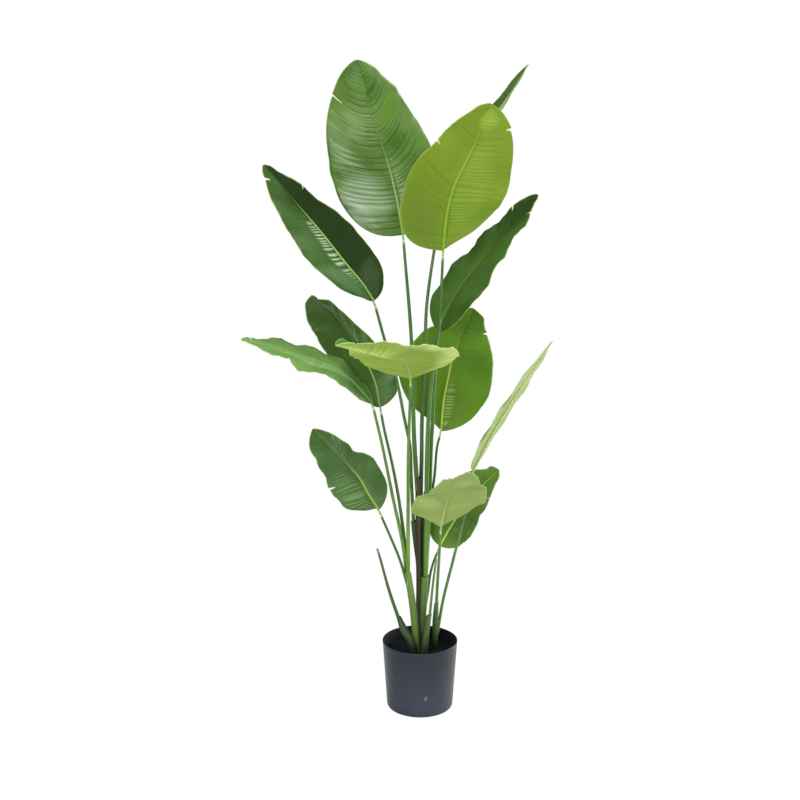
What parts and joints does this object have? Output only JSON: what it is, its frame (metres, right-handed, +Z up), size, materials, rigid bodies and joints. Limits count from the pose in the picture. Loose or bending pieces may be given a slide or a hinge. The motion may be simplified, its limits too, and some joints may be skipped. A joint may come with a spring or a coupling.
{
  "type": "potted bird of paradise plant",
  "caption": "Tall potted plant with broad paddle leaves on thin stems, clasping sheaths round a short trunk, in a plain tapered nursery pot.",
  "frame": {"origin": "centre of the pot's flat underside", "axes": "+Z up along the trunk; -Y is the front, which the picture looks at; +X to the right"},
  "size_m": [0.6854, 0.5862, 1.5264],
  "materials": {
    "pot": "satin charcoal plastic, a little lighter where light grazes it",
    "filling": "matt dark grey-green cement with a rough top",
    "trunk": "dull brown husk with streaks along it",
    "sheath": "satin green with paler edges and fine streaks along it",
    "stem": "satin green, olive and darker from stem to stem",
    "leaf": "satin mid green above with fine pleated veins, paler yellow-green beneath"
  },
  "bodies": {
    "root": {"pot": "pot", "filling": "filling", "trunk_core": "trunk", "trunk_sheath_dark": "sheath", "trunk_sheath_lower": "sheath", "trunk_sheath_upper": "sheath", "sheath_left": "sheath", "sheath_stub": "sheath", "sheath_bract": "trunk", "sheath_right": "sheath", "sheath_far_right": "sheath", "stem_01": "stem", "stem_02": "stem", "stem_03": "stem", "stem_04": "stem", "stem_05": "stem", "stem_06": "stem", "stem_07": "stem", "stem_08": "stem", "stem_09": "stem", "stem_10": "stem", "stem_11": "stem", "stem_12": "stem", "stem_13": "stem", "stub_left": "stem", "stub_right": "stem", "leaf_01": "leaf", "leaf_02": "leaf", "leaf_03": "leaf", "leaf_04": "leaf", "leaf_05": "leaf", "leaf_06": "leaf", "leaf_07": "leaf", "leaf_08": "leaf", "leaf_09": "leaf", "leaf_10": "leaf", "leaf_11": "leaf", "leaf_12": "leaf", "leaf_13": "leaf"}
  },
  "joints": []
}
